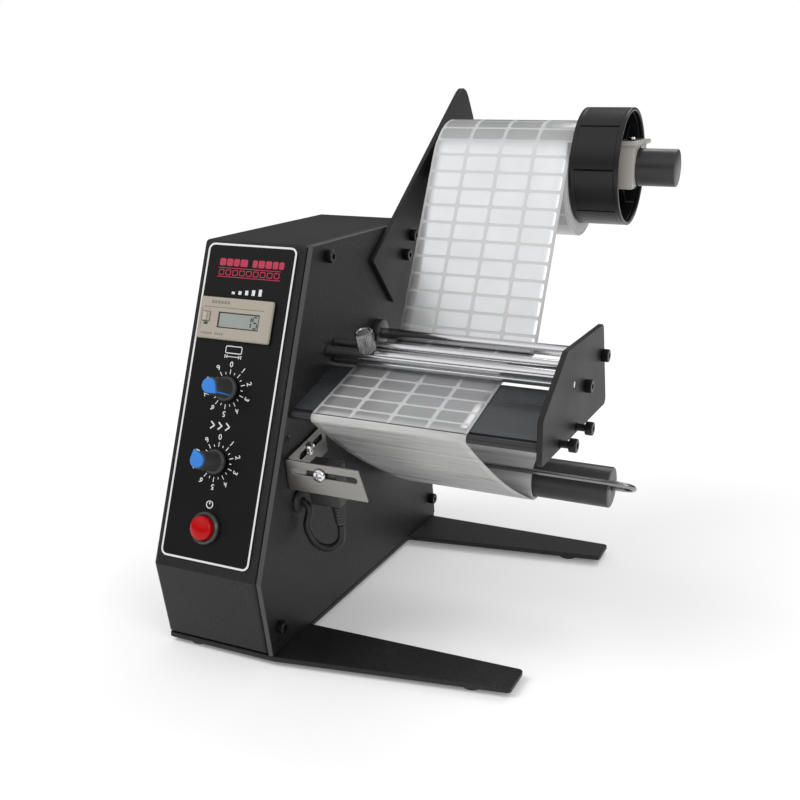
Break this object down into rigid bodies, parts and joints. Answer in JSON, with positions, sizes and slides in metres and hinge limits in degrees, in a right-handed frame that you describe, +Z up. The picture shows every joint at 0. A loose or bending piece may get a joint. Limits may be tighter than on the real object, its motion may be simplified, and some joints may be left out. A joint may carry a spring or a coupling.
{
  "type": "label dispenser",
  "caption": "Bench machine that peels labels from a roll: sloped control box, roll on a shaft, rods, peel plate, slotted sensor bracket and a driven take-up shaft for the liner.",
  "frame": {"origin": "on the table under the middle of the whole machine's box", "axes": "+Z up, the control panel faces -Y, and the rods and shafts run along +X from the box"},
  "size_m": [0.2382, 0.3024, 0.3109],
  "materials": {
    "black_oxide": "black oxide",
    "black_powder_coat": "fine texture, satin",
    "black_rubber": "matte",
    "polished_chrome": "polished",
    "green_board": "solder mask",
    "satin_black_plastic": "satin",
    "beige_plastic": "moulded",
    "lcd_window": "clear over grey",
    "brushed_stainless": "brushed",
    "cardboard": "plain",
    "silver_label": "glossy face",
    "glassine_liner": "glassine",
    "brass": "machined",
    "overlay_black": "printed film",
    "black_anodised": "black anodised",
    "red_button": "translucent red",
    "warm_grey_plastic": "moulded"
  },
  "bodies": {
    "frame": {"arm_screw_lower": "black_oxide", "arm_screw_upper": "black_oxide", "base_plate": "black_powder_coat", "box_pad_front": "black_rubber", "box_pad_rear": "black_rubber", "bracket_screw": "polished_chrome", "cable_grommet": "black_rubber", "circuit_board": "green_board", "counter_body": "beige_plastic", "counter_window": "lcd_window", "cover_shell": "black_powder_coat", "foot_pad_front": "black_rubber", "foot_pad_rear": "black_rubber", "front_rod": "polished_chrome", "gear_motor": "brushed_stainless", "label_web": "silver_label", "length_pot": "brushed_stainless", "liner_return": "glassine_liner", "lower_bolt_front": "black_oxide", "lower_bolt_rear": "black_oxide", "middle_rod": "polished_chrome", "outer_plate": "black_powder_coat", "panel_overlay": "overlay_black", "peel_bar": "black_anodised", "peel_plate": "black_anodised", "power_inlet": "satin_black_plastic", "power_switch": "satin_black_plastic", "roll_arm": "black_powder_coat", "roll_shaft": "black_anodised", "roller_hub": "black_anodised", "roller_screw": "black_oxide", "sensor_bracket": "brushed_stainless", "sensor_cable": "black_rubber", "side_plate": "black_powder_coat", "side_screw_back": "black_oxide", "side_screw_bottom": "black_oxide", "side_screw_top": "black_oxide", "speed_pot": "brushed_stainless", "support_rod": "polished_chrome", "support_screw": "black_oxide", "take_up_bush": "brass"},
    "label_roll": {"label_roll": "silver_label", "label_core": "cardboard"},
    "core_cup": {"core_cup": "satin_black_plastic"},
    "shaft_clamp": {"shaft_clamp": "warm_grey_plastic", "clamp_screw": "polished_chrome"},
    "rear_roller": {"rear_roller": "polished_chrome"},
    "hold_down_roller": {"hold_down_roller": "polished_chrome"},
    "take_up": {"take_up_shaft": "black_anodised", "wound_liner": "glassine_liner", "take_up_gear": "brass"},
    "liner_clip": {"liner_clip": "polished_chrome"},
    "motor_pinion": {"motor_pinion": "brass"},
    "length_knob": {"length_knob": "satin_black_plastic"},
    "speed_knob": {"speed_knob": "satin_black_plastic"},
    "power_button": {"power_button": "red_button"},
    "reset_button": {"reset_button": "beige_plastic"},
    "thumb_screw": {"thumb_screw": "polished_chrome"},
    "sensor": {"sensor": "satin_black_plastic", "sensor_screw": "polished_chrome"}
  },
  "joints": [
    {"name": "take_up_turn", "type": "hinge", "parent": "frame", "child": "take_up", "pos_m": [-0.04565, 0.00888, 0.0784], "axis": [1, 0, 0], "continuous": true, "deforming": ["liner_return"]},
    {"name": "roll_turn", "type": "hinge", "parent": "frame", "child": "label_roll", "pos_m": [0.01085, 0.08388, 0.2554], "axis": [1, 0, 0], "continuous": true},
    {"name": "rear_roller_turn", "type": "hinge", "parent": "frame", "child": "rear_roller", "pos_m": [0.01085, -0.00672, 0.16409], "axis": [1, 0, 0], "continuous": true},
    {"name": "hold_down_turn", "type": "hinge", "parent": "frame", "child": "hold_down_roller", "pos_m": [0.01085, -0.06181, 0.16051], "axis": [1, 0, 0], "continuous": true},
    {"name": "pinion_turn", "type": "hinge", "parent": "frame", "child": "motor_pinion", "pos_m": [-0.10565, -0.01233, 0.05718], "axis": [1, 0, 0], "continuous": true},
    {"name": "cup_turn", "type": "hinge", "parent": "frame", "child": "core_cup", "pos_m": [0.05665, 0.08388, 0.2636], "axis": [1, 0, 0], "continuous": true},
    {"name": "clamp_slide", "type": "slide", "parent": "frame", "child": "shaft_clamp", "axis": [1, 0, 0], "range_m": [0, 0.012]},
    {"name": "clip_pull", "type": "slide", "parent": "take_up", "child": "liner_clip", "axis": [1, 0, 0], "range_m": [0, 0.062]},
    {"name": "length_dial", "type": "hinge", "parent": "frame", "child": "length_knob", "pos_m": [-0.08765, -0.11594, 0.15088], "axis": [0, 0.9332, -0.3594], "range_deg": [-126, 214]},
    {"name": "speed_dial", "type": "hinge", "parent": "frame", "child": "speed_knob", "pos_m": [-0.08765, -0.13071, 0.11254], "axis": [0, 0.9332, -0.3594], "range_deg": [-336, 4]},
    {"name": "power_press", "type": "slide", "parent": "frame", "child": "power_button", "axis": [0, 0.9332, -0.3594], "range_m": [0, 0.0025], "stiffness_N_per_m": 400, "springref_m": -0.0025},
    {"name": "reset_press", "type": "slide", "parent": "frame", "child": "reset_button", "axis": [0, 0.9332, -0.3594], "range_m": [0, 0.001], "stiffness_N_per_m": 400, "springref_m": -0.0015},
    {"name": "thumb_turn", "type": "hinge", "parent": "frame", "child": "thumb_screw", "pos_m": [-0.02165, -0.07042, 0.16679], "axis": [0, -0.3746, 0.9272], "range_deg": [0, 180]},
    {"name": "sensor_slide", "type": "slide", "parent": "frame", "child": "sensor", "axis": [1, 0, 0], "range_m": [-0.005, 0.016], "deforming": ["sensor_cable"]}
  ],
  "couplings": [
    {"joint": "roll_turn", "follows": "take_up_turn", "ratio": 0.411},
    {"joint": "rear_roller_turn", "follows": "take_up_turn", "ratio": -3.75},
    {"joint": "hold_down_turn", "follows": "take_up_turn", "ratio": -4.2857},
    {"joint": "pinion_turn", "follows": "take_up_turn", "ratio": -2}
  ]
}
